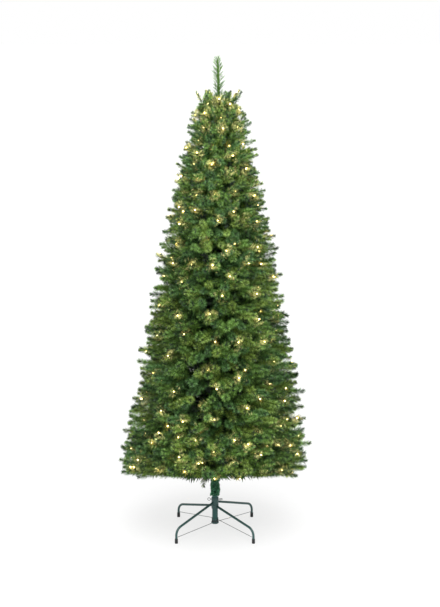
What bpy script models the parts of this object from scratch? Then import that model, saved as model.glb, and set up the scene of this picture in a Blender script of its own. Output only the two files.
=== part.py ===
"""Artificial pine tree, slim and full, on a folding steel stand.

A straight sectioned pole carries ten tiers of branches. Each tier is shared out into sectors, and
each sector is one mass of foliage: a stem off the pole, a dense core, and sprays of needles that
stand out of it. A bare leader tops the tree. The stand is two crossed pairs of bent legs, each
pair welded to a sleeve round the pole, with rubber feet and thin rod braces.

Metres, +Z up. The origin is on the floor, on the pole's axis. The front of the tree faces -Y.
"""

import math

import bmesh
import bpy
from mathutils import Matrix, Vector

TREE_HEIGHT = 2.13
CLEAR = 0.0003  # gap between pieces that touch

# Crown: the furthest tips reach a straight cone, from its widest ring up to its top ring
CROWN_BASE = 0.273
CROWN_TOP = 2.005
BASE_REACH = 0.440
TOP_REACH = 0.106
ROUND_FROM = 1.840  # above this the tips fall short of the cone, and at its top by this share
ROUNDING = 0.38
TIER_SECTORS = (5, 5, 5, 5, 4, 4, 4, 3, 3, 3)  # masses of foliage in each tier, from the lowest
TIER_SHRINK = 0.93  # each tier's height over that of the tier below it
TIER_TWIST = math.radians(37)  # each tier is turned this far past the one below it
LOW_TILT = math.radians(6)  # rise of the lowest branches, and of the topmost ones
HIGH_TILT = math.radians(52)
FRONT_LIFT = 0.085  # the skirt is bent up this far at the front, to clear the stand
LIFT_FADE = 0.45  # each surface is bent this much of the bend of the one below it
LEAN = 0.0135  # the sections above the lowest lean this much to +X, as their joints have play

# One mass of foliage
MASS_GAP = 0.004  # kept free inside each face of a mass's space
CORE_BAYS = 3  # straight lengths that a core bends round its sector in
CORE_FROM_POLE = 0.036
CORE_BEVEL = 0.030
CORE_END_TAPER = 0.95  # a core's ends reach this much less far than its middle
CORE_FLOOR = 0.03  # the share of the space's height where a core starts and ends
CORE_SKIRT_FLOOR = 0.20  # the same in the lowest tier, which is thin underneath
CORE_CEILING = 0.97
CORE_INNER_STEP = 0.02  # a core is this much lower at the pole, and its outer edges are cut this deep
CORE_OUTER_STEP = 0.18
BRUSH_SHOWN = 0.050  # length of spray outside the core, and its growth with the tier's reach
BRUSH_SHOWN_GROWTH = 0.085
SPRAY_SPACING = 0.0925  # these three are for the widest tiers, and shrink up the tree
SPRAY_GIRTH = 0.033
SPRAY_SUNK = 0.045  # depth of a spray's root in the core
ROOT_INSET = (0.88, 0.78)  # a root's share of its tip's distance from the middle, round and up
TIP_STAGGER = 0.18  # of a cell: rows are shifted to and fro, and each tip strays by chance
TIP_STRAY = 0.22
TIP_REACH = (0.955, 0.090)  # the least share of the cone's reach that a tip has, and what chance adds
SPRAY_TURN = 0.7
SPRAY_SHRINK = 0.30  # how much smaller a spray would be on a tier of no width
WIDE_TIER = 0.36
SPRAY_RINGS = ((0.60, 1.00, 0.0), (0.80, 0.90, 0.5))  # the share along, swell and turn of each
UNDERSIDE_SPRAYS = 3  # under each mass of the lowest tier
UNDERSIDE_REACH = (0.60, 0.10)
UNDERSIDE_STRAY = 0.3
UNDERSIDE_TIP = 0.13  # height of the tip, and of the root, as a share of the space's height
UNDERSIDE_ROOT = 0.40
UNDERSIDE_LENGTH = 0.085
SPRAY_TRIES = (0.0, 0.1, 0.2, 0.3)  # one that would leave its space is drawn in and thinned by these
STEM_RADIUS = 0.005
STEM_IN_CORE = 0.014

# Pole: each section's name, radius and top
POLE_SECTIONS = (("lower", 0.0129, 0.700), ("middle", 0.0118, 1.250), ("upper", 0.0106, 1.920))
POLE_STEPS = 14
POLE_FOOT = 0.036
SWAGE_LENGTH = 0.045  # the widened top end that takes the next section
SWAGE_STEP = 0.0012
SWAGE_CONE = 0.006
END_BEVEL = 0.001
CAP_WALL = 0.0016
CAP_HEIGHT = 0.013
CAP_FLOOR = 0.004
CAP_BEVEL = 0.0015
GARLAND_FROM = 0.1575
GARLAND_TO = 0.330
GARLAND_ROOTS = 0.0165  # radius at the needles' roots, and at their tips
GARLAND_TIPS = 0.0245
GARLAND_PITCH = 0.0190
GARLAND_STEPS = 10
GARLAND_JAG = 0.24  # every other needle is this much shorter
GARLAND_CREST = 0.4  # of the pitch, above the roots of each skirt

# Leader
LEADER_BARE_TO = 1.965
LEADER_RADIUS = 0.0085
LEADER_TIP = (0.7, 0.012)  # share of its radius, and length, where the core draws to a point
LEADER_BEND = 0.009  # its top is bent this far to -X
LEADER_WHORLS = 7
LEADER_NEEDLES = 4  # in each whorl
LEADER_LAST_WHORL = 0.040  # below the top
LEADER_SPREAD = 0.027
LEADER_DRAWN_IN = 0.33  # the last whorl spreads this much less
LEADER_STRAY = 0.3
NEEDLE_RISE = (0.020, 0.012, 0.004)  # of the first whorl, what the last one adds, and what chance adds
NEEDLE_RADIUS = 0.0034
NEEDLE_ROOT = 0.0005

# Stand
FOOT_REACH = 0.242  # from the pole's axis to a foot's middle
LEG_RADIUS = 0.0053
LEG_BEND = 0.038
BEND_STEPS = 6
UPPER_LEG = (0.1318, 0.0640)  # height at the pole, and where its slope meets its upright end
LOWER_LEG = (0.1142, 0.0618)
SLEEVE_WALL = 0.0030
WELD_DEPTH = 0.45  # of the sleeve's wall, that a leg's end is sunk into it
SLEEVES_TOP = 0.1560
SLEEVES_BOTTOM = 0.1037
UPPER_BRACE_HEIGHT = 0.0545
LOWER_BRACE_HEIGHT = 0.0370
BRACE_RADIUS = 0.0013
BRACE_RING_WALL = 0.0022
BRACE_RING_HEIGHT = 0.007
BRACE_FOOT_HEIGHT = 0.027
BRACE_END = 0.006  # its last stretch is level
FOOT_RADIUS = 0.0070
FOOT_HEIGHT = 0.021
FOOT_FLOOR = 0.004
FOOT_RIM = 0.0012
FOOT_SKIRT = 0.006  # height of its widest part
EYE_BOLT_HEIGHT = 0.1465
EYE_RADIUS = 0.0062
EYE_WIRE = 0.0013
EYE_SHANK = 0.0045
EYE_SHANK_RADIUS = 0.0024
EYE_TURNS = {"left": (180, 90), "right": (0, 10)}  # degrees round the pole, and of twist


def clear_scene():
    for item in list(bpy.data.objects):
        bpy.data.objects.remove(item, do_unlink=True)


def new_collection(name):
    made = bpy.data.collections.new(name)
    bpy.context.scene.collection.children.link(made)
    return made


def material(name, colour, roughness, metallic=0.0):
    made = bpy.data.materials.new(name)
    made.use_nodes = True
    shader = made.node_tree.nodes["Principled BSDF"]
    shader.inputs["Base Color"].default_value = (*colour, 1.0)
    shader.inputs["Roughness"].default_value = roughness
    shader.inputs["Metallic"].default_value = metallic
    made.diffuse_color = (*colour, 1.0)
    return made


def solid(name, bm, finish, collection, smooth_angle=None):
    """Turns a bmesh into a named object, with its faces pointing out."""
    bmesh.ops.recalc_face_normals(bm, faces=bm.faces)
    mesh = bpy.data.meshes.new(name)
    bm.to_mesh(mesh)
    bm.free()
    mesh.materials.append(finish)
    if smooth_angle is not None:
        mesh.shade_smooth()
        mesh.set_sharp_from_angle(angle=smooth_angle)
    made = bpy.data.objects.new(name, mesh)
    collection.objects.link(made)
    return made


def apply(body, modifier):
    bpy.context.view_layer.objects.active = body
    bpy.ops.object.modifier_apply(modifier=modifier.name)


def fuse(body, pieces, solver="EXACT"):
    """Joins every object of the collection into body, then removes them."""
    join = body.modifiers.new("fuse", "BOOLEAN")
    join.operation = "UNION"
    join.operand_type = "COLLECTION"
    join.collection = pieces
    join.solver = solver
    apply(body, join)
    for piece in list(pieces.objects):
        bpy.data.objects.remove(piece, do_unlink=True)


def turned(name, profile, steps, finish, collection):
    """Turns a profile of (radius, height) about its upright axis. It runs down the outer side."""
    mesh = bpy.data.meshes.new(name)
    corners = [(radius, 0.0, height) for radius, height in profile]
    edges = [(i, i + 1) for i in range(len(corners) - 1)]
    if profile[0][0] > 0:
        edges.append((len(corners) - 1, 0))
    mesh.from_pydata(corners, edges, [])
    mesh.materials.append(finish)
    made = bpy.data.objects.new(name, mesh)
    collection.objects.link(made)
    screw = made.modifiers.new("turn", "SCREW")
    screw.steps = steps
    screw.render_steps = steps
    screw.use_merge_vertices = True
    screw.merge_threshold = 0.00001
    screw.use_smooth_shade = True
    apply(made, screw)
    made.data.set_sharp_from_angle(angle=math.radians(35))
    return made


def ring(name, inner, outer, low, high, finish, collection):
    """A short tube round the pole."""
    profile = ((outer, high), (outer, low), (inner, low), (inner, high))
    return turned(name, profile, POLE_STEPS, finish, collection)


def rod(name, points, radius, resolution, finish, collection):
    """A round bar along the points, as a mesh with welded caps."""
    curve = bpy.data.curves.new(name, "CURVE")
    curve.dimensions = "3D"
    curve.bevel_depth = radius
    curve.bevel_resolution = resolution
    curve.use_fill_caps = True
    line = curve.splines.new("POLY")
    line.points.add(len(points) - 1)
    for point, place in zip(line.points, points):
        point.co = (*place, 1.0)
    guide = bpy.data.objects.new(name + "_line", curve)
    collection.objects.link(guide)
    graph = bpy.context.evaluated_depsgraph_get()
    bm = bmesh.new()
    bm.from_mesh(bpy.data.meshes.new_from_object(guide.evaluated_get(graph)))
    bmesh.ops.remove_doubles(bm, verts=bm.verts, dist=0.00001)
    bpy.data.objects.remove(guide, do_unlink=True)
    return solid(name, bm, finish, collection, math.radians(50))


def scatter(*keys):
    """A repeatable number from 0 to 1 for each set of whole numbers."""
    mixed = sum(key * weight for key, weight in zip(keys, (12.9898, 78.233, 37.719, 4.581)))
    return math.sin(mixed) * 43758.5453 % 1.0


def around(angle, radius, height):
    return Vector((radius * math.cos(angle), radius * math.sin(angle), height))


# ---- the crown's rule ----


def reach(height):
    """Radius of the crown's cone at this height."""
    share = (height - CROWN_BASE) / (CROWN_TOP - CROWN_BASE)
    return BASE_REACH + (TOP_REACH - BASE_REACH) * share


def tip_reach(height):
    """The same for the tips themselves, which round the crown off at its top."""
    over = max(0.0, (height - ROUND_FROM) / (CROWN_TOP - ROUND_FROM))
    return reach(height) * (1 - ROUNDING * over**2)


def tier_edges():
    """Heights, on the crown's cone, of the surfaces between one tier and the next."""
    count = len(TIER_SECTORS)
    first = (CROWN_TOP - CROWN_BASE) * (1 - TIER_SHRINK) / (1 - TIER_SHRINK**count)
    edges = [CROWN_BASE]
    for tier in range(count):
        edges.append(edges[-1] + first * TIER_SHRINK**tier)
    return edges


EDGES = tier_edges()


def tilt(index):
    """Rise of surface number index: the branches are level at the bottom, and steep at the top."""
    return LOW_TILT + (HIGH_TILT - LOW_TILT) * (index / len(TIER_SECTORS)) ** 3


def layer(index, radius, angle):
    """Height of surface number index, which is a cone, bent up at the front of the skirt."""
    outer = reach(EDGES[index])
    lift = FRONT_LIFT * LIFT_FADE**index * max(0.0, -math.sin(angle)) * radius / outer
    return EDGES[index] + math.tan(tilt(index)) * (radius - outer) + lift


class Space:
    """The room of one mass: a sector of a tier, between two layers. u runs round, v runs up."""

    def __init__(self, tier, sector):
        self.tier = tier
        self.sector = sector
        self.width = math.tau / TIER_SECTORS[tier]
        self.start = tier * TIER_TWIST + sector * self.width
        self.height = EDGES[tier + 1] - EDGES[tier]
        self.outer = reach((EDGES[tier] + EDGES[tier + 1]) / 2)
        self.scale = 1 - SPRAY_SHRINK * max(0.0, 1 - self.outer / WIDE_TIER)

    def place(self, u, v, radius):
        angle = self.start + u * self.width
        low = layer(self.tier, radius, angle)
        high = layer(self.tier + 1, radius, angle)
        return around(angle, radius, low + (high - low) * v)

    def holds(self, point):
        radius = math.hypot(point.x, point.y)
        turn = (math.atan2(point.y, point.x) - self.start) % math.tau
        if turn > self.width:
            return False
        angle = self.start + turn
        below = (point.z - layer(self.tier, radius, angle)) * math.cos(tilt(self.tier))
        above = (layer(self.tier + 1, radius, angle) - point.z) * math.cos(tilt(self.tier + 1))
        return min(turn * radius, (self.width - turn) * radius, below, above) > MASS_GAP


class Core:
    """The dense heart of a mass: a six-sided bar bent round the sector."""

    def __init__(self, space):
        self.space = space
        self.inner = CORE_FROM_POLE * space.scale
        self.outer = space.outer - (BRUSH_SHOWN + BRUSH_SHOWN_GROWTH * space.outer)
        self.floor = CORE_SKIRT_FLOOR if space.tier == 0 else CORE_FLOOR
        self.ceiling = CORE_CEILING
        self.middle = (self.floor + self.ceiling) / 2

    def section(self):
        """Its outline, as (radius, v)."""
        bevel = min(CORE_BEVEL, 0.4 * (self.outer - self.inner))
        return (
            (self.inner, self.floor + CORE_INNER_STEP),
            (self.inner, self.ceiling - CORE_INNER_STEP),
            (self.outer - bevel, self.ceiling),
            (self.outer, self.ceiling - CORE_OUTER_STEP),
            (self.outer, self.floor + CORE_OUTER_STEP),
            (self.outer - bevel, self.floor),
        )

    def build(self, name, finish, collection):
        bm = bmesh.new()
        rings = []
        for bay in range(CORE_BAYS + 1):
            taper = CORE_END_TAPER if bay in (0, CORE_BAYS) else 1.0
            corners = []
            for radius, v in self.section():
                margin = 1.5 * MASS_GAP / (radius * self.space.width)
                u = margin + bay / CORE_BAYS * (1 - 2 * margin)
                corners.append(bm.verts.new(self.space.place(u, v, max(self.inner, radius * taper))))
            rings.append(corners)
        for first, second in zip(rings, rings[1:]):
            for i in range(len(first)):
                bm.faces.new((first[i - 1], first[i], second[i], second[i - 1]))
        bm.faces.new(rings[0])
        bm.faces.new(rings[-1])
        bmesh.ops.triangulate(bm, faces=bm.faces)
        return solid(name, bm, finish, collection)


def spray_rings(root, tip, girth, turn):
    """Two rings of three needle ends along a spray, the second turned half a step."""
    axis = (tip - root).normalized()
    side = axis.orthogonal().normalized()
    up = axis.cross(side)
    rings = []
    for share, swell, offset in SPRAY_RINGS:
        ends = []
        for corner in range(3):
            angle = turn + (corner + offset) * math.tau / 3
            out = side * math.cos(angle) + up * math.sin(angle)
            ends.append(root.lerp(tip, share) + out * (girth * swell))
        rings.append(ends)
    return rings


def spray(root, tip, rings, finish, collection):
    """A spray of needles: a toothed bud, with its narrow end sunk in the core."""
    bm = bmesh.new()
    for place in (root, tip, *rings[0], *rings[1]):
        bm.verts.new(place)
    bmesh.ops.convex_hull(bm, input=bm.verts)
    return solid("spray", bm, finish, collection)


def spray_places(core):
    """(u, v, reach, root's v, root's radius) of each spray: rows on the outer face, some below."""
    space = core.space
    spacing = SPRAY_SPACING * space.scale
    rows = round(space.height / spacing)
    columns = round(space.width * space.outer / spacing)
    root_radius = core.outer - SPRAY_SUNK * space.scale
    for row in range(rows):
        for column in range(columns):
            seed = (space.tier, space.sector, row, column)
            stagger = TIP_STAGGER if row % 2 else -TIP_STAGGER
            u = (column + 0.5 + stagger + TIP_STRAY * (scatter(*seed) - 0.5)) / columns
            v = (row + 0.5 + TIP_STRAY * (scatter(*seed[::-1]) - 0.5)) / rows
            share = TIP_REACH[0] + TIP_REACH[1] * scatter(7, *seed[1:])
            far = tip_reach(space.place(u, v, space.outer).z) * share
            yield u, v, far, core.middle + ROOT_INSET[1] * (v - core.middle), root_radius
    if space.tier == 0:
        for column in range(UNDERSIDE_SPRAYS):
            seed = (space.sector, column)
            u = (column + 0.5 + UNDERSIDE_STRAY * (scatter(*seed) - 0.5)) / UNDERSIDE_SPRAYS
            far = space.outer * (UNDERSIDE_REACH[0] + UNDERSIDE_REACH[1] * scatter(*seed[::-1]))
            yield u, UNDERSIDE_TIP, far, UNDERSIDE_ROOT, far - UNDERSIDE_LENGTH


def foliage(name, space, finish, collection, pieces):
    """One mass of foliage, fused from its core, its stem and its sprays."""
    core = Core(space)
    mass = core.build(name, finish, collection)
    height = space.place(0.5, 0.5, core.inner).z
    pole_radius = next(radius for _, radius, top in POLE_SECTIONS if top > height)
    angle = space.start + space.width / 2
    stem = (
        around(angle, pole_radius + CLEAR, height),
        around(angle, core.inner + STEM_IN_CORE, height),
    )
    rod("stem", stem, STEM_RADIUS, 0, finish, pieces)
    kept = 0
    for index, (u, v, far, root_v, root_radius) in enumerate(spray_places(core)):
        root = space.place(0.5 + ROOT_INSET[0] * (u - 0.5), root_v, root_radius)
        for drawn in SPRAY_TRIES:
            tip = space.place(u + drawn * (0.5 - u), v + drawn * (core.middle - v), far)
            girth = SPRAY_GIRTH * space.scale * (1 - drawn)
            rings = spray_rings(root, tip, girth, SPRAY_TURN * index)
            if all(space.holds(end) for end in (tip, *rings[0], *rings[1])):
                spray(root, tip, rings, finish, pieces)
                kept += 1
                break
    fuse(mass, pieces)
    return kept


def crown(finish, collection, pieces):
    kept = 0
    for tier, sectors in enumerate(TIER_SECTORS):
        for sector in range(sectors):
            name = f"foliage_{tier + 1:02d}_{'abcde'[sector]}"
            kept += foliage(name, Space(tier, sector), finish, collection, pieces)
    print("sprays of needles:", kept)


def leader(finish, collection, pieces):
    """The bare top shoot: a slim upright core that single needles stand out of."""
    foot = POLE_SECTIONS[-1][2] + CLEAR
    profile = (
        (0, TREE_HEIGHT),
        (LEADER_TIP[0] * LEADER_RADIUS, TREE_HEIGHT - LEADER_TIP[1]),
        (LEADER_RADIUS, foot),
        (0, foot),
    )
    shoot = turned("leader", profile, 6, finish, collection)
    for whorl in range(LEADER_WHORLS):
        share = whorl / (LEADER_WHORLS - 1)
        height = LEADER_BARE_TO + (TREE_HEIGHT - LEADER_LAST_WHORL - LEADER_BARE_TO) * share
        spread = LEADER_SPREAD * (1 - LEADER_DRAWN_IN * share)
        for needle in range(LEADER_NEEDLES):
            turn = (needle + 0.5 * whorl + LEADER_STRAY * scatter(whorl, needle)) / LEADER_NEEDLES
            rise = NEEDLE_RISE[0] + NEEDLE_RISE[1] * share + NEEDLE_RISE[2] * scatter(needle, whorl)
            root = around(turn * math.tau, NEEDLE_ROOT, height)
            end = around(turn * math.tau, spread, height + rise)
            bm = bmesh.new()
            length = (end - root).length
            bmesh.ops.create_cone(
                bm, cap_ends=True, segments=3, radius1=NEEDLE_RADIUS, depth=length
            )
            aim = (end - root).to_track_quat("Z", "Y").to_matrix().to_4x4()
            middle = Matrix.Translation((root + end) / 2)
            bmesh.ops.transform(bm, matrix=middle @ aim, verts=bm.verts)
            solid("needle", bm, finish, pieces)
    fuse(shoot, pieces)
    for vertex in shoot.data.vertices:
        vertex.co.x -= LEADER_BEND * ((vertex.co.z - foot) / (TREE_HEIGHT - foot)) ** 2


# ---- the pole ----


def pole(finish, collection):
    bottom = POLE_FOOT
    for name, radius, top in POLE_SECTIONS:
        wide = radius if name == "upper" else radius + SWAGE_STEP
        profile = (
            (0, top),
            (wide - END_BEVEL, top),
            (wide, top - END_BEVEL),
            (wide, top - SWAGE_LENGTH + SWAGE_CONE),
            (radius, top - SWAGE_LENGTH),
            (radius, bottom),
            (0, bottom),
        )
        turned("pole_" + name, profile, POLE_STEPS, finish, collection)
        bottom = top + CLEAR


def pole_cap(finish, collection):
    """The cup that closes the pole's foot."""
    inner = POLE_SECTIONS[0][1] + CLEAR
    outer = inner + CAP_WALL
    floor = POLE_FOOT - CLEAR
    profile = (
        (0, floor),
        (inner, floor),
        (inner, floor + CAP_HEIGHT),
        (outer, floor + CAP_HEIGHT),
        (outer, floor - CAP_FLOOR + CAP_BEVEL),
        (outer - CAP_BEVEL, floor - CAP_FLOOR),
        (0, floor - CAP_FLOOR),
    )
    turned("pole_cap", profile, POLE_STEPS, finish, collection)


def garland(finish, collection):
    """Needles wound round the bare pole under the crown: stacked skirts with a jagged hem."""
    inner = (POLE_SECTIONS[0][1] + CLEAR) / math.cos(math.pi / GARLAND_STEPS)
    turns = round((GARLAND_TO - GARLAND_FROM) / GARLAND_PITCH)
    pitch = (GARLAND_TO - GARLAND_FROM) / turns
    profile = [(GARLAND_ROOTS, GARLAND_TO)]
    for turn in reversed(range(turns)):
        low = GARLAND_FROM + turn * pitch
        profile += [(GARLAND_TIPS, low + GARLAND_CREST * pitch), (GARLAND_ROOTS, low)]
    profile += [(inner, GARLAND_FROM), (inner, GARLAND_TO)]
    wrap = turned("pole_garland", profile, GARLAND_STEPS, finish, collection)
    for vertex in wrap.data.vertices:
        place = vertex.co
        if math.hypot(place.x, place.y) > (GARLAND_ROOTS + GARLAND_TIPS) / 2:
            side = round(math.atan2(place.y, place.x) / math.tau * GARLAND_STEPS)
            turn = round((place.z - GARLAND_FROM) / pitch)
            short = GARLAND_JAG * ((side + turn) % 2)
            vertex.co = (place.x * (1 - short), place.y * (1 - short), place.z - short * pitch)


# ---- the stand ----


def leg_path(hub_height, shoulder, angle):
    """From inside the sleeve's wall, down the slope, round the bend and down to the foot."""
    start = POLE_SECTIONS[0][1] + CLEAR + WELD_DEPTH * SLEEVE_WALL
    slope = math.atan2(hub_height - shoulder, FOOT_REACH - start)
    turn = math.pi / 2 - slope
    bend_centre = FOOT_REACH - LEG_BEND, shoulder - LEG_BEND * math.tan(turn / 2)
    path = [around(angle, start, hub_height)]
    for step in range(BEND_STEPS + 1):
        lean = turn * (1 - step / BEND_STEPS)
        radius = bend_centre[0] + LEG_BEND * math.cos(lean)
        path.append(around(angle, radius, bend_centre[1] + LEG_BEND * math.sin(lean)))
    path.append(around(angle, FOOT_REACH, FOOT_FLOOR + CLEAR))
    return path


def leg_pair(name, heights, angles, low, high, finish, collection, pieces):
    """Two opposite legs welded to one sleeve round the pole."""
    inner = POLE_SECTIONS[0][1] + CLEAR
    sleeve = ring(name, inner, inner + SLEEVE_WALL, low, high, finish, collection)
    for angle in angles:
        rod("leg", leg_path(*heights, angle), LEG_RADIUS, 2, finish, pieces)
    fuse(sleeve, pieces)


def brace_pair(name, height, angles, finish, collection, pieces):
    """Two thin rods from opposite legs to a ring round the pole's foot."""
    on_cap = height < POLE_FOOT + CAP_HEIGHT
    inner = POLE_SECTIONS[0][1] + CLEAR + (CAP_WALL + CLEAR if on_cap else 0)
    outer = inner + BRACE_RING_WALL
    half = BRACE_RING_HEIGHT / 2
    band = ring(name, inner, outer, height - half, height + half, finish, collection)
    far = FOOT_REACH - LEG_RADIUS - CLEAR
    for angle in angles:
        line = (
            around(angle, (inner + outer) / 2, height),
            around(angle, far - BRACE_END, BRACE_FOOT_HEIGHT),
            around(angle, far, BRACE_FOOT_HEIGHT),
        )
        rod("brace", line, BRACE_RADIUS, 1, finish, pieces)
    fuse(band, pieces)


def foot(name, angle, finish, collection):
    """A rubber cup under a leg's end, flat underneath."""
    inner = LEG_RADIUS + CLEAR
    profile = (
        (0, FOOT_FLOOR),
        (inner, FOOT_FLOOR),
        (inner, FOOT_HEIGHT),
        (inner + FOOT_RIM, FOOT_HEIGHT),
        (FOOT_RADIUS, FOOT_SKIRT),
        (FOOT_RADIUS, 0),
        (0, 0),
    )
    cup = turned(name, profile, 10, finish, collection)
    cup.location = around(angle, FOOT_REACH, 0)


def eye_bolt(name, angle, twist, finish, collection, pieces):
    """A ring-headed screw that clamps the pole in the upper sleeve."""
    start = POLE_SECTIONS[0][1] + 2 * CLEAR + SLEEVE_WALL
    middle = start + EYE_SHANK + EYE_RADIUS
    bpy.ops.mesh.primitive_torus_add(
        major_segments=12, minor_segments=5, major_radius=EYE_RADIUS, minor_radius=EYE_WIRE
    )
    eye = bpy.context.active_object
    eye.data.transform(Matrix.Rotation(twist, 4, "X"))
    eye.data.transform(Matrix.Translation((middle, 0, EYE_BOLT_HEIGHT)))
    eye.data.transform(Matrix.Rotation(angle, 4, "Z"))
    bm = bmesh.new()
    bm.from_mesh(eye.data)
    bpy.data.objects.remove(eye, do_unlink=True)
    bolt = solid(name, bm, finish, collection, math.radians(60))
    line = (
        around(angle, start, EYE_BOLT_HEIGHT),
        around(angle, start + EYE_SHANK, EYE_BOLT_HEIGHT),
    )
    rod("shank", line, EYE_SHANK_RADIUS, 1, finish, pieces)
    fuse(bolt, pieces)


def stand(steel, rubber, bright, collection, pieces):
    feet = {
        "back_right": math.radians(45),
        "back_left": math.radians(135),
        "front_left": math.radians(225),
        "front_right": math.radians(315),
    }
    upper = feet["front_left"], feet["back_right"]
    lower = feet["front_right"], feet["back_left"]
    split = (UPPER_LEG[0] + LOWER_LEG[0]) / 2
    spans = (split + CLEAR / 2, SLEEVES_TOP), (SLEEVES_BOTTOM, split - CLEAR / 2)
    leg_pair("legs_upper", UPPER_LEG, upper, *spans[0], steel, collection, pieces)
    leg_pair("legs_lower", LOWER_LEG, lower, *spans[1], steel, collection, pieces)
    brace_pair("braces_upper", UPPER_BRACE_HEIGHT, lower, bright, collection, pieces)
    brace_pair("braces_lower", LOWER_BRACE_HEIGHT, upper, bright, collection, pieces)
    for side, angle in feet.items():
        foot("foot_" + side, angle, rubber, collection)
    for side, (turn, twist) in EYE_TURNS.items():
        name = "eye_bolt_" + side
        eye_bolt(name, math.radians(turn), math.radians(twist), bright, collection, pieces)


def lean(collection):
    """Leans all that stands above the pole's lowest section."""
    start = POLE_SECTIONS[0][2]
    for body in collection.objects:
        for vertex in body.data.vertices:
            vertex.co.x += LEAN * max(0.0, vertex.co.z - start)


def main():
    clear_scene()
    tree = new_collection("pine_tree")
    pieces = new_collection("pieces")
    needles = material("needles", (0.055, 0.155, 0.045), 0.6)
    steel = material("green_steel", (0.035, 0.075, 0.068), 0.4, 0.2)
    rubber = material("black_rubber", (0.02, 0.022, 0.02), 0.8)
    bright = material("zinc_wire", (0.42, 0.43, 0.43), 0.35, 0.9)
    pole(steel, tree)
    pole_cap(rubber, tree)
    garland(needles, tree)
    stand(steel, rubber, bright, tree, pieces)
    crown(needles, tree, pieces)
    leader(needles, tree, pieces)
    lean(tree)
    bpy.data.collections.remove(pieces)


main()
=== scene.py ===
import math

import bpy
import numpy as np
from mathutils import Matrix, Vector


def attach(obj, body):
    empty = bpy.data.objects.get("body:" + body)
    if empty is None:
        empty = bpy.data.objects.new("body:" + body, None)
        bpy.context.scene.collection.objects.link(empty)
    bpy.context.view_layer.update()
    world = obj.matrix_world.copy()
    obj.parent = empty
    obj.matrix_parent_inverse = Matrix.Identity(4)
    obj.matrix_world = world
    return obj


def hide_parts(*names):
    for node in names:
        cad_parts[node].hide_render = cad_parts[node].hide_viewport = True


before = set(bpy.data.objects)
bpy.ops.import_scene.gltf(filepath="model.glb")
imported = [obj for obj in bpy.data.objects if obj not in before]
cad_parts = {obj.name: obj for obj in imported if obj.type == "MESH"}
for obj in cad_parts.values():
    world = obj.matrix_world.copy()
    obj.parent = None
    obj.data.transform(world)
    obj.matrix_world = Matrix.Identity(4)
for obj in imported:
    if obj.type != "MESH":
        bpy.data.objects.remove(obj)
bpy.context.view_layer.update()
print("frame loaded:", len(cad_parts), "nodes")


class Finish:
    # a material in the making, whose shader's sockets take steady values or other nodes' outputs
    def __init__(self, name, **steady):
        self.material = bpy.data.materials.new(name)
        self.material.use_nodes = True
        self.tree = self.material.node_tree
        self.shade(**steady)

    def node(self, kind, sockets=None, output=0, **settings):
        made = self.tree.nodes.new("ShaderNode" + kind)
        for key, value in settings.items():
            setattr(made, key, value)
        for key, value in (sockets or {}).items():
            self.feed(made.inputs[key], value)
        return made.outputs[output]

    def feed(self, socket, value):
        if isinstance(value, bpy.types.NodeSocket):
            self.tree.links.new(value, socket)
        else:
            socket.default_value = value

    def shade(self, **sockets):
        shader = self.tree.nodes["Principled BSDF"]
        for socket, value in sockets.items():
            self.feed(shader.inputs[socket.replace("_", " ")], value)
        return self.material

    def noise(self, scale, detail=2.0, roughness=0.5):
        place = self.node("TexCoord", output="Object")
        sockets = {"Vector": place, "Scale": scale, "Detail": detail, "Roughness": roughness}
        return self.node("TexNoise", sockets, "Fac")

    def blendColours(self, share, first, second):
        sockets = {0: share, 6: (*first, 1.0), 7: (*second, 1.0)}
        return self.node("Mix", sockets, 2, data_type="RGBA")

    def spread(self, value, low, high, toLow=0.0, toHigh=1.0):
        sockets = {"Value": value, "From Min": low, "From Max": high, "To Min": toLow, "To Max": toHigh}
        return self.node("MapRange", sockets)


def unit(vectors):
    return vectors / np.maximum(np.linalg.norm(vectors, axis=-1, keepdims=True), 1e-12)


def helpersFor(directions):
    # an axis that each direction doesn't run along: X for an upright one, and Z for the others
    upright = np.abs(directions[..., 2:]) > 0.9
    return np.where(upright, [1.0, 0.0, 0.0], [0.0, 0.0, 1.0])


def turns(count):
    return np.arange(count) * math.tau / count


def circles(side, up, count):
    # a unit circle of so many points for each pair of directions
    angle = turns(count)[:, None]
    return side[..., None, :] * np.cos(angle) + up[..., None, :] * np.sin(angle)


def circlesAbout(axes, count):
    side = unit(np.cross(axes, helpersFor(axes)))
    return circles(side, np.cross(axes, side), count)


def polar(radius, angle, height):
    # points round the Z axis, from numbers or arrays
    return np.stack(np.broadcast_arrays(radius * np.cos(angle), radius * np.sin(angle), height), axis=-1)


noQuads = np.zeros((0, 4), int)
noTriangles = np.zeros((0, 3), int)


def addPiece(name, shape, finishes, finishOf=None, smooth=True, nodes=()):
    # a shape is (points, quads, triangles): points are (n, 3) in metres, and faces are point numbers
    points, *faceSets = shape
    faceSets = [faces for faces in faceSets if len(faces)]
    corners = np.concatenate([faces.ravel() for faces in faceSets]).astype(np.int32)
    sizes = np.concatenate([np.full(len(faces), faces.shape[1]) for faces in faceSets])
    starts = np.concatenate([[0], np.cumsum(sizes)[:-1]]).astype(np.int32)
    mesh = bpy.data.meshes.new(name)
    mesh.vertices.add(len(points))
    mesh.vertices.foreach_set("co", points.astype(np.float32).ravel())
    mesh.loops.add(len(corners))
    mesh.loops.foreach_set("vertex_index", corners)
    mesh.polygons.add(len(starts))
    mesh.polygons.foreach_set("loop_start", starts)
    for finish in finishes:
        mesh.materials.append(finish)
    if finishOf is not None:
        mesh.polygons.foreach_set("material_index", finishOf.astype(np.int32))
    mesh.polygons.foreach_set("use_smooth", np.full(len(starts), smooth))
    mesh.update(calc_edges=True)
    mesh.validate()
    piece = bpy.data.objects.new(name, mesh)
    bpy.context.scene.collection.objects.link(piece)
    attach(piece, "root")
    if nodes:
        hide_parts(*nodes)


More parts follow.
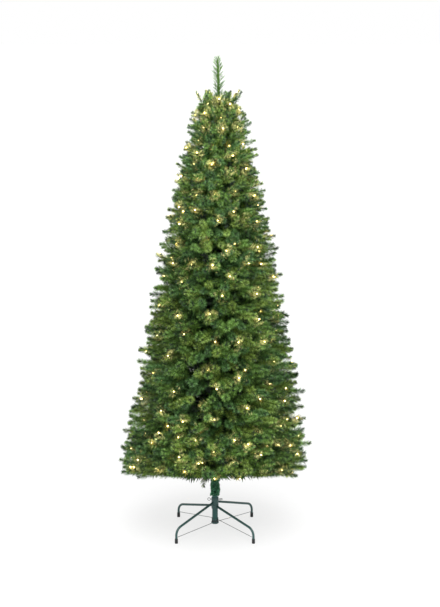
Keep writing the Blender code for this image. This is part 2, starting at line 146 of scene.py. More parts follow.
def lattice(rows, columns, closeRows=False):
    # quads of a grid whose columns run round and close, and whose rows may close too
    row = np.arange(rows if closeRows else rows - 1)[:, None]
    column = np.arange(columns)[None, :]
    above = (row + 1) % rows
    beside = (column + 1) % columns
    near, far = row * columns, above * columns
    corners = (near + column, near + beside, far + beside, far + column)
    return np.stack([corner + 0 * row * column for corner in corners], axis=-1).reshape(-1, 4)


def gridShapes(grid, poles):
    # grids (n, rows, columns, 3) that close round their columns, and are shut by the poles (n, 2, 3)
    count, rows, columns = grid.shape[:3]
    points = np.concatenate([grid.reshape(count, -1, 3), poles], axis=1)
    base = np.arange(count)[:, None, None] * (rows * columns + 2)
    quads = (lattice(rows, columns)[None] + base).reshape(-1, 4)
    column = np.arange(columns)
    beside = (column + 1) % columns
    foot, top = np.full(columns, rows * columns), np.full(columns, rows * columns + 1)
    lastRow = (rows - 1) * columns
    first = np.stack([foot, beside, column], axis=-1)
    last = np.stack([top, lastRow + column, lastRow + beside], axis=-1)
    caps = (np.concatenate([first, last])[None] + base).reshape(-1, 3)
    return points.reshape(-1, 3), quads, caps


def tubes(paths, radii, sides, helper=None):
    # point = path + radius * (side * cos a + up * sin a), for paths (n, k, 3) and radii (n, k) or (k,);
    # the helper is a direction that no stretch of a path runs along
    radii = np.broadcast_to(radii, paths.shape[:2])
    along = unit(np.gradient(paths, axis=1))
    if helper is None:
        helper = helpersFor(unit(paths[:, -1] - paths[:, 0]))[:, None]
    side = unit(np.cross(helper, along))
    ring = circles(side, np.cross(along, side), sides)
    grid = paths[:, :, None] + radii[:, :, None, None] * ring
    return gridShapes(grid, np.stack([paths[:, 0], paths[:, -1]], axis=1))


def turned(profile, sides, centres=((0, 0, 0),), axes=((0, 0, 1),)):
    # one turned body at each centre, from a profile of (radius, height) that runs up its outer side:
    # point = centre + axis * height + radius * (side * cos a + up * sin a)
    profile, centres, axes = np.array(profile), np.array(centres, float), unit(np.array(axes, float))
    inner = profile[1:-1]
    grid = centres[:, None, None] + axes[:, None, None] * inner[None, :, None, 1:]
    grid = grid + circlesAbout(axes, sides)[:, None] * inner[None, :, None, :1]
    poles = centres[:, None] + axes[:, None] * profile[[0, -1]][None, :, 1:]
    return gridShapes(grid, poles)


def collar(profile, sides):
    # a ring round the Z axis whose closed profile of (radius, height) runs up its outer side
    radius, height = np.hsplit(np.array(profile), 2)
    grid = polar(radius, turns(sides), height)
    return grid.reshape(-1, 3), lattice(len(profile), sides, True), noTriangles


def rounded(inner, outer, low, high, edge, steps=5):
    # the profile of a collar whose four edges are quarter circles
    corners = ((outer, low, -90), (outer, high, 0), (inner, high, 90), (inner, low, 180))
    profile = []
    for radius, height, start in corners:
        turn = np.radians(start + 90 * np.arange(steps) / (steps - 1))
        middle = radius + math.copysign(edge, inner + outer - 2 * radius)
        level = height + math.copysign(edge, low + high - 2 * height)
        profile += [(middle + edge * math.cos(a), level + edge * math.sin(a)) for a in turn]
    return profile


def roundedFoot(radius, low, edge, steps):
    # the start of a turned profile, whose lower edge is a quarter circle
    arc = np.linspace(0, math.pi / 2, steps)
    return [(0, low)] + [(radius - edge + edge * math.sin(a), low + edge - edge * math.cos(a)) for a in arc]


def kites(foot, waist, wide, tip):
    # each needle's two triangles, one from its foot to its waist and one from there to its tip
    points = np.stack([foot, waist + wide, tip, waist - wide], axis=1)
    start = np.arange(len(foot))[:, None] * 4
    triangles = np.stack([start + [0, 1, 3], start + [1, 2, 3]], axis=1)
    return points.reshape(-1, 3), noQuads, triangles.reshape(-1, 3)


def joinShapes(*shapes):
    # several (points, quads, triangles) made one
    points, *faceSets = zip(*shapes)
    starts = np.cumsum([0] + [len(part) for part in points[:-1]])
    joined = (np.concatenate([part + start for part, start in zip(faces, starts)]) for faces in faceSets)
    return (np.concatenate(points), *joined)


def scatter(*keys):
    # a repeatable number from 0 to 1 for each set of whole numbers, which may be arrays
    weights = (12.9898, 78.233, 37.719, 4.581, 91.17)
    mixed = sum(np.asarray(key, dtype=float) * weight for key, weight in zip(keys, weights))
    return np.sin(mixed) * 43758.5453 % 1.0


def ranged(pair, chance):
    # from the pair's first number, up by its second at the most
    return pair[0] + pair[1] * chance


studio = {
    "cameraAt": (0.0226, -6.0, 2.238), "cameraDown": math.radians(11.18), "lens": 82.14,
    "floorSize": 400.0, "floorShade": (0.165, 0.180),
    "floorGlow": 0.720,  # light of its own, which keeps the shadow faint
    "sunStrength": 3.6, "sunSpread": math.radians(46), "sunFrom": (0.04, -0.58, 1.0),
}


def makeStudio():
    scene = bpy.context.scene
    camera = bpy.data.cameras.new("camera")
    camera.lens = studio["lens"]
    view = bpy.data.objects.new("camera", camera)
    view.location = studio["cameraAt"]
    view.rotation_euler = (math.pi / 2 - studio["cameraDown"], 0, 0)
    scene.collection.objects.link(view)
    scene.camera = view

    half = studio["floorSize"] / 2
    mesh = bpy.data.meshes.new("floor")
    corners = [(-half, -half, 0), (half, -half, 0), (half, half, 0), (-half, half, 0)]
    mesh.from_pydata(corners, [], [(0, 1, 2, 3)])
    white = (1.0, 1.0, 1.0, 1.0)
    paper = Finish("floorPaper", Roughness=0.9, Emission_Strength=studio["floorGlow"], Emission_Color=white)
    shades = ((shade,) * 3 for shade in studio["floorShade"])
    mesh.materials.append(paper.shade(Base_Color=paper.blendColours(paper.noise(40.0), *shades)))
    floor = bpy.data.objects.new("floor", mesh)
    scene.collection.objects.link(floor)

    world = bpy.data.worlds.new("studio")
    world.use_nodes = True
    world.node_tree.nodes["Background"].inputs["Color"].default_value = white
    scene.world = world
    lamp = bpy.data.lights.new("softSun", "SUN")
    lamp.energy = studio["sunStrength"]
    lamp.angle = studio["sunSpread"]
    sun = bpy.data.objects.new("softSun", lamp)
    sun.rotation_euler = Vector(studio["sunFrom"]).to_track_quat("Z", "Y").to_euler()
    scene.collection.objects.link(sun)
    scene.view_settings.view_transform = "Standard"


makeStudio()
print("studio done")


hues = {
    "spring": (0.130, 0.205, 0.030),
    "meadow": (0.083, 0.168, 0.025),
    "forest": (0.044, 0.113, 0.023),
    "slate": (0.042, 0.066, 0.042),
    "pine": (0.066, 0.210, 0.112),
    # a warm yellow-green painted on needles near a bulb, standing in for the light the bulb casts
    "paintedBulbGlow": (0.375, 0.360, 0.130),
}
hueNumber = {name: number for number, name in enumerate(hues)}
# the light and pale tones, with white in them, are painted highlights on the needles, and the deep tone is in
# part painted shade
tones = ((0.42, 0.0), (1.0, 0.0), (1.75, 0.012), (2.5, 0.07))  # how bright, and how much white is in it
deep, mid, light, pale = range(len(tones))
toneCount = len(tones)


def needleFinish(name, colour):
    # soft plastic needles, whose green shifts a little from needle to needle
    finish = Finish(name, Roughness=0.48, IOR=1.36)
    shift = finish.spread(finish.noise(120.0, 3.0, 0.6), 0.3, 0.7)
    shades = (tuple(bright * part for part in colour) for bright in (0.78, 1.22))
    return finish.shade(Base_Color=finish.blendColours(shift, *shades))


def surface(name, dark, bright, cloud, rough, grain, **steady):
    # clouds (scale, detail, ...) shift the shade, and the roughness (least, most), under a fine
    # grain (scale, strength, depth)
    finish = Finish(name, **steady)
    clouds = finish.noise(*cloud)
    scale, strength, depth = grain
    relief = {"Height": finish.noise(scale), "Strength": strength, "Distance": depth}
    return finish.shade(
        Base_Color=finish.blendColours(clouds, dark, bright),
        Roughness=finish.spread(clouds, 0.0, 1.0, *rough),
        Normal=finish.node("Bump", relief),
    )


def paint(name, dark, bright, rough, index, coat):
    # powder coat with its orange peel
    grain = (900.0, 0.12, 0.0004)
    steady = {"IOR": index, "Coat_Weight": coat, "Coat_Roughness": 0.22}
    return surface(name, dark, bright, (14.0, 3.0), rough, grain, **steady)


def rubber(name, dark, bright):
    # matt, with a faint bloom
    grain = (1400.0, 0.2, 0.0003)
    return surface(name, dark, bright, (60.0, 4.0, 0.65), (0.62, 0.87), grain, Specular_IOR_Level=0.35)


needleFinishes = [
    needleFinish(f"{hue}Needles{tone}", tuple(bright * part + white for part in colour))
    for hue, colour in hues.items()
    for tone, (bright, white) in enumerate(tones)
]
tealPaint = paint("tealPaint", (0.010, 0.062, 0.054), (0.018, 0.084, 0.074), (0.32, 0.44), 1.38, 0.05)
legPaint = paint("legPaint", (0.018, 0.058, 0.053), (0.028, 0.078, 0.072), (0.28, 0.40), 1.42, 0.10)
wirePaint = paint("wirePaint", (0.010, 0.030, 0.010), (0.020, 0.046, 0.016), (0.54, 0.66), 1.3, 0.0)
footRubber = rubber("footRubber", (0.010, 0.011, 0.011), (0.022, 0.024, 0.024))
capPlastic = rubber("capPlastic", (0.024, 0.034, 0.036), (0.036, 0.048, 0.050))
zincPlate = surface(
    "zincPlate", (0.16, 0.18, 0.18), (0.30, 0.32, 0.32), (80.0, 3.0), (0.30, 0.52), (700.0, 0.15, 0.0002),
    Metallic=1.0,
)
print("finishes:", len(needleFinishes), "greens")


crown = {
    "base": 0.273, "top": 2.005, "baseReach": 0.440, "topReach": 0.106, "roundFrom": 1.840, "rounding": 0.38,
    "sectors": (5, 5, 5, 5, 4, 4, 4, 3, 3, 3),  # of each tier, from the skirt up
    "tierShrink": 0.93, "twist": math.radians(37), "lowTilt": math.radians(6), "highTilt": math.radians(52),
    "frontLift": 0.085, "liftFade": 0.45, "lean": 0.0135, "leanFrom": 0.700,
    "spacing": 0.0925,  # between sprays, which shrinks where a tier is narrower than the wide ones
    "shrink": 0.30, "wideTier": 0.36, "stagger": 0.18, "stray": 0.22,
    "tipReach": (0.955, 0.090),  # least share of the cone's reach, and what chance adds
    "poleRadius": 0.0125,
}
tierCount = len(crown["sectors"])


def risen(height):
    # 0 at the crown's base and 1 at its top
    return (height - crown["base"]) / (crown["top"] - crown["base"])


def reachAt(height):
    return crown["baseReach"] + (crown["topReach"] - crown["baseReach"]) * risen(height)


def tipReach(height):
    # the tips at the very top stay inside the cone, which rounds the crown off
    over = np.maximum(0.0, (height - crown["roundFrom"]) / (crown["top"] - crown["roundFrom"]))
    return reachAt(height) * (1 - crown["rounding"] * over**2)


# heights between the tiers, each of which is lower than the one under it
ratio = crown["tierShrink"]
firstTier = (crown["top"] - crown["base"]) * (1 - ratio) / (1 - ratio**tierCount)
edges = crown["base"] + firstTier * np.concatenate([[0.0], np.cumsum(ratio ** np.arange(tierCount))])


def layerHeight(index, radius, angle):
    outer = reachAt(edges[index])
    tilt = crown["lowTilt"] + (crown["highTilt"] - crown["lowTilt"]) * (index / tierCount) ** 3
    front = np.maximum(0.0, -np.sin(angle)) * radius / outer
    lift = crown["frontLift"] * crown["liftFade"] ** index * front
    return edges[index] + math.tan(tilt) * (radius - outer) + lift


class Mass:
    # the room of one mass: a sector of a tier between two layers, where u runs round and v runs up
    def __init__(self, tier, sector):
        self.tier = tier
        self.sector = sector
        self.name = f"foliage_{tier + 1:02d}_{'abcde'[sector]}"
        self.width = math.tau / crown["sectors"][tier]
        self.start = tier * crown["twist"] + sector * self.width
        self.outer = reachAt((edges[tier] + edges[tier + 1]) / 2)
        self.scale = 1 - crown["shrink"] * max(0.0, 1 - self.outer / crown["wideTier"])
        spacing = crown["spacing"] * self.scale
        self.rows = round((edges[tier + 1] - edges[tier]) / spacing)
        self.columns = round(self.width * self.outer / spacing)

    def place(self, u, v, radius):
        u, v, radius = np.broadcast_arrays(np.asarray(u, float), v, radius)
        angle = self.start + u * self.width
        low = layerHeight(self.tier, radius, angle)
        high = layerHeight(self.tier + 1, radius, angle)
        return polar(radius, angle, low + (high - low) * v)


def leaned(shape):
    # the sections above the lowest one lean to +X
    points = shape[0].copy()
    points[..., 0] += crown["lean"] * np.maximum(0.0, points[..., 2] - crown["leanFrom"])
    return (points, *shape[1:])


masses = [Mass(tier, sector) for tier, sectors in enumerate(crown["sectors"]) for sector in range(sectors)]


twigs = {
    "boughRadius": 0.0024, "twigRadius": 0.0012, "taper": 0.55,
    "sides": (6, 5, 4),  # of boughs, arms and twigs
    "forkAt": 0.30,  # share of the tier's reach where a bough forks, and where its arms end
    "armTo": 0.66, "arms": 3,
    "armBend": (0.6, 0.5),  # how far round an arm's middle is, of its end's turn, and how far out
    "armRoots": (0.35, 0.95),  # the stretch of an arm that bears twigs
    "sideShift": ((0.0, 0.0), (0.34, 0.34), (-0.34, -0.34), (0.22, -0.46), (-0.30, 0.16)),  # of a cell
    "openTier": 8,  # from this tier up a spray has only the first three of its twigs
    "sideReach": (0.80, 0.20),  # share of the spray's reach that a side twig has, and what chance adds
    "sideWobble": (0.24, 0.50),  # how far side tips stray round and up
    "zigzag": 0.26,  # of a cell, up and down in turn
    "bulge": 0.018,  # the crown's middle is this much fuller
    # share of the crown's height, and how far it reaches to +X of its axis there
    "offAxis": (
        (0.05, -0.006), (0.17, 0.014), (0.37, 0.014), (0.48, 0.003),
        (0.80, 0.002), (0.87, 0.015), (0.92, 0.0),
    ),
    "lowest": -0.08, "highest": 1.06,  # least and greatest share of the space's height for a tip
    "skirtLowest": (0.065, 0.22),  # the least in the skirt, at its sides, and what its front adds
    "skirtRagged": 0.13,  # how far some of its lowest tips hang below that
    "fanned": 0.62,  # 1 turns each twig's end straight away from the pole, 0 leaves it on its line
    "swing": 0.70,  # how far that way strays
    "sag": 0.04,
    "tipShort": 0.012,  # the wire ends this far inside its needles' ends
    "undersides": 20,  # in each mass of the skirt
    "undersideHeight": (0.06, 0.30),  # their tips' least share of the space's height, and what chance adds
    "undersideReach": (0.16, 0.70),  # the same for the reach
    "undersideStray": 0.4,
    "undersideRoot": 0.7,  # the outermost share of an arm that bears one
    "fillers": 9, "fillerLength": 0.075,
    "fillerOpen": 0.85,  # how long they are from the open tier up
    "fillerRoot": (0.2, 0.6),  # of its share of the bough, and what chance adds
    "fillerSpread": 0.55,  # how far one strays from upright
    "fillerDown": (0.15, -0.9),  # how every other one rises in the skirt, and above it
}
goldenShare = 0.618
# one pale twig hangs under the skirt: its root, middle and tip
danglingTwig = ((-0.040, -0.085, 0.345), (-0.046, -0.098, 0.300), (-0.051, -0.106, 0.248))


def pointsOn(curves, share):
    # on curves (n, 3, 3) that bend from their first end by a middle to their last, at one share of the
    # way on each, (n,), or at several, (n, k)
    first, middle, last = (curves[:, end] if share.ndim == 1 else curves[:, end, None] for end in range(3))
    share = share[..., None]
    return (1 - share) ** 2 * first + 2 * share * (1 - share) * middle + share**2 * last


def growFrame(mass):
    # the three ends of every bough from the pole and of every arm from its fork
    boughs, arms = [], []
    bendTurn, bendReach = twigs["armBend"]
    for level in range(mass.rows):
        v = (level + 0.5) / mass.rows
        foot = mass.place(0.5, v, crown["poleRadius"])
        fork = mass.place(0.5, v, twigs["forkAt"] * mass.outer)
        boughs.append((foot, (foot + fork) / 2, fork))
        for arm in range(twigs["arms"]):
            u = (arm + 0.5) / twigs["arms"]
            end = mass.place(u, v, twigs["armTo"] * mass.outer)
            bend = mass.place(0.5 + bendTurn * (u - 0.5), v, bendReach * mass.outer)
            arms.append((fork, bend, end))
    return np.array(boughs), np.array(arms).reshape(mass.rows, twigs["arms"], 3, 3)


def skirtLift(mass, u):
    # the skirt's edge hangs lower at its sides than in front
    if mass.tier:
        return 0.0
    return ranged(twigs["skirtLowest"], np.maximum(0.0, -np.sin(mass.start + u * mass.width)))


def rootsOn(arms, row, u, share):
    # each twig's root, on the arm that lies nearest to it
    nearest = np.clip((u * twigs["arms"]).astype(int), 0, twigs["arms"] - 1)
    return pointsOn(arms[row, nearest], share)


def growTips(mass, arms):
    # some twigs for each spray of the mass, their tips spread evenly over its outer face; the whole
    # numbers among scatter's keys only keep its results apart
    row, column = np.indices((mass.rows, mass.columns)).reshape(2, -1)
    keys = (mass.tier, mass.sector, row, column)
    stagger = np.where(row % 2 == 1, crown["stagger"], -crown["stagger"])
    strayU = crown["stray"] * (scatter(*keys) - 0.5)
    strayV = crown["stray"] * (scatter(*keys[::-1]) - 0.5) + np.where(column % 2, 1, -1) * twigs["zigzag"]
    low, high = twigs["armRoots"]
    sprays = []
    shifts = twigs["sideShift"][:3] if mass.tier >= twigs["openTier"] else twigs["sideShift"]
    for number, (shiftU, shiftV) in enumerate(shifts):
        seed = mass.sector + 11 * number
        wobbleU, wobbleV, shorter = (number > 0) * np.array([
            twigs["sideWobble"][0] * (scatter(row, column, seed, mass.tier) - 0.5),
            twigs["sideWobble"][1] * (scatter(mass.tier, row, seed, column) - 0.5),
            1 - twigs["sideReach"][0] - twigs["sideReach"][1] * scatter(column, row, number, mass.tier),
        ])
        u = (column + 0.5 + stagger + strayU + shiftU + wobbleU) / mass.columns
        v = (row + 0.5 + strayV + shiftV + wobbleV) / mass.rows
        lift = skirtLift(mass, u)
        v = lift + (1 - lift) * np.clip(v, twigs["lowest"] * (mass.tier > 0), twigs["highest"])
        v -= twigs["skirtRagged"] * (mass.tier + row == 0) * scatter(column, mass.sector, number)
        height = mass.place(u, v, mass.outer)[:, 2]
        rise = risen(height)
        far = tipReach(height) * ranged(crown["tipReach"], scatter(7, *keys[1:])) * (1 - shorter)
        far += 4 * twigs["bulge"] * rise * (1 - rise) - twigs["tipShort"]
        far += np.interp(rise, *zip(*twigs["offAxis"])) * np.cos(mass.start + u * mass.width)
        tip = mass.place(u, v, far)
        share = low + (high - low) * scatter(row, mass.sector, column, 3 * number + mass.tier)
        root = rootsOn(arms, row, u, share)
        reach = np.linalg.norm(tip - root, axis=1)[:, None]
        straight = (root + tip) / 2
        swing = [scatter(*keys, 13 * number + axis) - 0.5 for axis in range(3)]
        aim = unit(unit(tip * [1.0, 1.0, 0.0]) + twigs["swing"] * np.stack(swing, axis=1))
        fanned = tip - aim * reach / 2
        middle = straight + twigs["fanned"] * (fanned - straight) - reach * [0.0, 0.0, twigs["sag"]]
        sprays.append(np.stack([root, middle, tip], axis=1))
    return sprays


def growUndersides(mass, arms):
    # short twigs that close the skirt underneath
    column = np.arange(twigs["undersides"])
    stray = twigs["undersideStray"] * (scatter(mass.sector, column) - 0.5)
    u = (column + 0.5 + stray) / twigs["undersides"]
    height = ranged(twigs["undersideHeight"], scatter(mass.sector, 3, column)) + skirtLift(mass, u)
    far = ranged(twigs["undersideReach"], goldenShare * column % 1.0)
    tip = mass.place(u, height, mass.outer * far)
    root = rootsOn(arms, 0 * column, u, np.clip(far - twigs["forkAt"], 0.0, twigs["undersideRoot"]))
    return np.stack([root, (root + tip) / 2, tip], axis=1)


def growFillers(mass, bare):
    # short twigs up and down along the boughs and arms, which hide the pole from every side
    fillers = []
    length = twigs["fillerLength"] * mass.scale
    if mass.tier >= twigs["openTier"]:
        length *= twigs["fillerOpen"]
    key = np.arange(len(bare))
    first, more = twigs["fillerRoot"]
    for number in range(twigs["fillers"]):
        share = (number + first + more * scatter(key, number, mass.tier)) / twigs["fillers"]
        root = pointsOn(bare, share)
        rise = np.where((key + number) % 2 == 0, 1.0, twigs["fillerDown"][mass.tier > 0])
        turn = math.tau * scatter(number, key, mass.sector, mass.tier)
        tip = root + unit(polar(twigs["fillerSpread"], turn, rise)) * length
        fillers.append(np.stack([root, (root + tip) / 2, tip], axis=1))
    return fillers


def growMass(mass):
    boughs, arms = growFrame(mass)
    sprays = growTips(mass, arms)
    if mass.tier == 0:
        sprays.append(growUndersides(mass, arms))
    arms = arms.reshape(-1, 3, 3)
    fillers = growFillers(mass, np.concatenate([boughs, arms]))
    if mass.tier >= twigs["openTier"]:
        # nothing hides them there, so they are covered as the other twigs are
        sprays += fillers
        fillers = [np.zeros((0, 3, 3))]
    return boughs, arms, np.concatenate(sprays), np.concatenate(fillers)


grown = [growMass(mass) for mass in masses]
boughCurves, armCurves, twigCurves, fillerCurves = (np.concatenate(kind) for kind in zip(*grown))
massOfTwig = np.repeat(np.arange(len(masses)), [len(part[2]) for part in grown])
twigCurves = np.concatenate([twigCurves, [danglingTwig]])
massOfTwig = np.append(massOfTwig, 0)
print("boughs:", len(boughCurves), "arms:", len(armCurves), "twigs:", len(twigCurves))


def curvePaths(curves, steps):
    return pointsOn(curves, np.broadcast_to(np.linspace(0, 1, steps), (len(curves), steps)))


def makeTwigs():
    steps = 7
    thinning = np.linspace(1.0, twigs["taper"], steps)
    boughSides, armSides, twigSides = twigs["sides"]
    boughs = tubes(curvePaths(boughCurves, 3), twigs["boughRadius"], boughSides)
    arms = tubes(curvePaths(armCurves, steps), twigs["boughRadius"] * thinning, armSides)
    addPiece("boughs", leaned(joinShapes(boughs, arms)), [wirePaint])
    fine = tubes(curvePaths(twigCurves, steps), twigs["twigRadius"] * thinning, twigSides)
    addPiece("twigs", leaned(fine), [wirePaint])


makeTwigs()
print("boughs and twigs done")


lights = {
    "apart": ((0.0, 0.067), (0.3, 0.100), (1.0, 0.050)),  # share of the height, and least distance there
    "back": (0.020, 0.060),  # from the twig's end to the socket
    "inmost": 0.8,  # the largest share of the twig that this takes up
    "standOff": 0.019, "sides": 8,
    "aim": (0.9, 0.35, 0.3),  # how far bulbs point away from the pole, up, and along their twigs
    "glass": (
        (0.0, -0.001), (0.0015, 0.0), (0.0021, 0.0033), (0.0018, 0.0066), (0.0010, 0.0086), (0.0, 0.0095),
    ),
    "husk": (
        (0.0, -0.016), (0.0028, -0.016), (0.0036, -0.012), (0.0038, -0.001), (0.0032, 0.0012), (0.0, 0.0012),
    ),
    "glow": ((1.0, 0.68, 0.22), (1.0, 0.76, 0.30)),
    "strength": 13.0,
    "wireRadius": 0.0007, "wireSides": 4, "wireGap": 0.0014,
    "wireRun": (0.9, 0.1, 7),  # shares of the way in where the wires' points start and end, and how many
    "haloReach": 0.043,  # needles this near to a bulb may take a painted warm glow, as if lit by it
    "haloFrom": (0.12, 0.6),  # the least nearness for it, and what chance adds
    "haloPale": 0.55,  # the nearness from which their tips take a painted pale highlight from the bulb
}


def placeLights():
    # twigs are taken in a scattered order, and one takes a light where no other light is near
    curves, key = twigCurves, np.arange(len(twigCurves))
    low, high = lights["back"]
    chord = np.linalg.norm(curves[:, 2] - curves[:, 0], axis=1)
    share = 1 - np.minimum(lights["inmost"], (low + (high - low) * scatter(key, 1)) / chord)
    spot = pointsOn(curves, share)
    along = unit(curves[:, 2] - curves[:, 1])
    out = unit(spot * [1.0, 1.0, 0.0])
    turn = (math.tau * scatter(key, 2))[:, None]
    side = unit(np.cross(along, [[0.0, 0.0, 1.0]]))
    up = np.cross(side, along)
    outer, upper, ahead = lights["aim"]
    aim = unit(outer * out + side * np.cos(turn) + up * (upper + np.sin(turn)) + ahead * along)
    bulb = spot + aim * lights["standOff"]
    apart = np.interp(risen(bulb[:, 2]), *zip(*lights["apart"]))
    kept = []
    for twig in np.argsort(scatter(key, 3)):
        if not kept or np.linalg.norm(bulb[kept] - bulb[twig], axis=1).min() > apart[twig]:
            kept.append(twig)
    kept.append(len(curves) - 1)
    return bulb[kept], aim[kept], curves[kept], share[kept]


bulbSpots, bulbAims, bulbCurves, bulbShares = placeLights()


def nearBulbs(points):
    # how near each point is to a bulb, from 0 beyond the halo to 1 at it
    reach = lights["haloReach"]
    order = np.argsort(points[:, 2])
    heights = points[order, 2]
    near = np.zeros(len(points))
    for bulb in bulbSpots:
        first, last = np.searchsorted(heights, (bulb[2] - reach, bulb[2] + reach))
        some = order[first:last]
        away = np.linalg.norm(points[some] - bulb, axis=1)
        near[some] = np.maximum(near[some], 1 - away / reach)
    return near


def makeLights():
    strength, glassColour = lights["strength"], (1.0, 0.86, 0.6, 1.0)
    glowing = Finish("warmBulb", Roughness=0.2, Emission_Strength=strength, Base_Color=glassColour)
    patch = glowing.noise(300.0, 1.0)
    glowing.shade(Emission_Color=glowing.blendColours(patch, *lights["glow"]))
    glass, husks = (turned(lights[part], lights["sides"], bulbSpots, bulbAims) for part in ("glass", "husk"))
    addPiece("bulbs", leaned(glass), [glowing.material])
    # two wires leave each husk and follow the twig in
    tail = bulbSpots + bulbAims * lights["husk"][0][1]
    wires = []
    for sign in (-1, 1):
        aside = unit(np.cross(bulbAims, [[0.0, 0.0, 1.0]])) * lights["wireGap"] * sign
        run = pointsOn(bulbCurves, bulbShares[:, None] * np.linspace(*lights["wireRun"]))
        wires.append(np.concatenate([tail[:, None], run], axis=1) + aside[:, None])
    strands = tubes(np.concatenate(wires), lights["wireRadius"], lights["wireSides"])
    addPiece("light_strings", leaned(joinShapes(husks, strands)), [wirePaint])
    print("bulbs:", len(bulbSpots))


makeLights()


needles = {
    "perMetre": 1700.0,
    "brush": 0.14,  # longest stretch of a twig that bears needles, and its greatest share
    "brushShare": 0.97,
    "fewest": 8,
    "length": 0.0275, "halfWidth": 0.00130,
    "lengths": (0.86, 0.28),  # the least share of the length, and what chance adds
    "widths": (0.85, 0.3),
    "fold": 0.0009, "widestAt": 0.46,
    "leanOut": math.radians(56),  # between needle and wire along the twig, and at its end
    "leanEnd": math.radians(30),
    "leanStray": 0.35, "endRun": 0.018, "endShort": 0.36,
    "faceSlant": 0.3,  # how far a needle's flat side faces along the twig
    "twist": 2.2,  # how far a needle may be turned about itself
    "sparser": 0.15,  # by what share needles are fewer and shorter at the crown's top
    "shorter": 0.26,
    "golden": math.radians(137.508), "turnStray": 0.9, "crowding": 1.18,
    "darkEnd": 0.016,  # stretch at a twig's end where some needles are slate
    "darkShare": 0.45,
    # needle feet are dealt darker tones and tips lighter and pale ones: partly the plastic's two tones,
    # partly painted shade inside each brush and painted highlights at its rims
    "footTones": (0.42, 0.46, 0.12, 0.0), "tipTones": (0.06, 0.32, 0.36, 0.26),
    "brightShare": 1.10,  # of the needles at the crown's top, which catch more light
    "sprayShade": (0.28, 0.46, 0.26),  # shares of the twigs that are darker, as dealt, and brighter
    "shaded": 0.75,  # share of such a twig's needles that are a tone darker or brighter
    "patch": 0.085, "patched": 0.70,  # a patch's side, and the share of the twigs that follow theirs
    "heaviest": 190000,  # a piece's triangles, if all its twigs were long
}

sprayHues = (("spring", 0.26), ("meadow", 0.42), ("forest", 0.32))


def highness(height):
    # 0 in the lower half of the crown, rising to 1 at its top
    low = (crown["base"] + crown["top"]) / 2
    return np.clip((height - low) / (crown["top"] - low), 0, 1)


def brush(curves, look, seed):
    # on each twig needle i leaves the wire at share s, turned i golden angles about it:
    # direction = along * cos(lean) + outward * sin(lean), and a kite is laid along it
    path = curvePaths(curves, 12)
    length = np.linalg.norm(np.diff(path, axis=1), axis=2).sum(axis=1)
    borne = np.minimum(length * look["brushShare"], look["brush"])
    high = highness(curves[:, 2, 2])
    count = (borne * look["perMetre"] * (1 - look["sparser"] * high)).astype(int)
    count = np.maximum(look["fewest"], count)
    twig = np.repeat(np.arange(len(curves)), count)
    number = np.arange(len(twig)) - np.repeat(np.cumsum(count) - count, count)
    chance = np.random.default_rng(seed).random((6, len(twig)))
    back = borne[twig] * ((number + chance[0]) / count[twig]) ** look["crowding"]
    share = 1 - back / length[twig]
    foot = pointsOn(curves[twig], share)
    first, last = np.diff(curves, axis=1)[twig].swapaxes(0, 1)
    along = unit((1 - share)[:, None] * first + share[:, None] * last)
    side = unit(np.cross(along, helpersFor(along)))
    up = np.cross(side, along)
    turn = (number * look["golden"] + look["turnStray"] * (chance[1] - 0.5))[:, None]
    outward = side * np.cos(turn) + up * np.sin(turn)
    settled = 1 - np.exp(-back / look["endRun"])
    lean = look["leanEnd"] + (look["leanOut"] - look["leanEnd"]) * settled
    lean = (lean + look["leanStray"] * (chance[2] - 0.5))[:, None]
    aim = along * np.cos(lean) + outward * np.sin(lean)
    size = look["length"] * (1 - look["endShort"] * (1 - settled)) * ranged(look["lengths"], chance[3])
    size *= 1 - look["shorter"] * high[twig]
    flat = unit(np.cross(aim, outward + look["faceSlant"] * along))
    edge = np.cross(aim, flat)
    twist = (look["twist"] * (chance[4] - 0.5))[:, None]
    across = flat * np.cos(twist) + edge * np.sin(twist)
    waist = foot + aim * (size * look["widestAt"])[:, None] + edge * look["fold"]
    wide = across * (look["halfWidth"] * ranged(look["widths"], chance[5]))[:, None]
    return kites(foot, waist, wide, foot + aim * size[:, None]), twig, back


def dealHues(seed, names, count, shares=None):
    return np.random.default_rng(seed).choice([hueNumber[name] for name in names], count, p=shares)


def dealGreens(shape, hue, look, seed, slate=False, shade=0):
    # a finish for each half of each needle: its hue and shade from its twig, its tones by chance, darker
    # slate at the twig's end, tones raised toward the crown's top as painted light, and a painted warm
    # yellow-green glow near a bulb
    draw = np.random.default_rng(seed)
    count = len(hue)
    foot = draw.choice(toneCount, count, p=look["footTones"])
    tip = draw.choice(toneCount, count, p=look["tipTones"])
    moved = shade * (draw.random(count) < look["shaded"])
    foot = np.clip(foot + moved, deep, light)
    tip = np.clip(tip + moved, deep, pale)
    dark = slate & (draw.random(count) < look["darkShare"])
    foot = np.where(dark, deep, foot)
    tip = np.where(dark, np.minimum(tip, mid), tip)
    hue = np.where(dark, hueNumber["slate"], hue)
    ends = shape[0][2::4]
    raised = draw.random(count) < look["brightShare"] * highness(ends[:, 2])
    foot = np.minimum(foot + raised, light)
    tip = np.minimum(tip + raised, pale)
    # needles near a bulb take the painted glow hue, and the nearest take painted pale highlights at their
    # tips
    near = nearBulbs(ends)
    lit = near > ranged(lights["haloFrom"], draw.random(count))
    foot = np.where(lit, np.maximum(foot, mid), foot)
    tip = np.where(lit, np.where(near > lights["haloPale"], pale, np.maximum(tip, mid)), tip)
    hue = np.where(lit, hueNumber["paintedBulbGlow"], hue)
    return np.stack([hue * toneCount + foot, hue * toneCount + tip], axis=1).ravel()


def addNeedles(name, shape, finishOf, nodes=()):
    addPiece(name, shape, needleFinishes, finishOf, smooth=False, nodes=nodes)
    print(name, "triangles:", len(shape[2]))


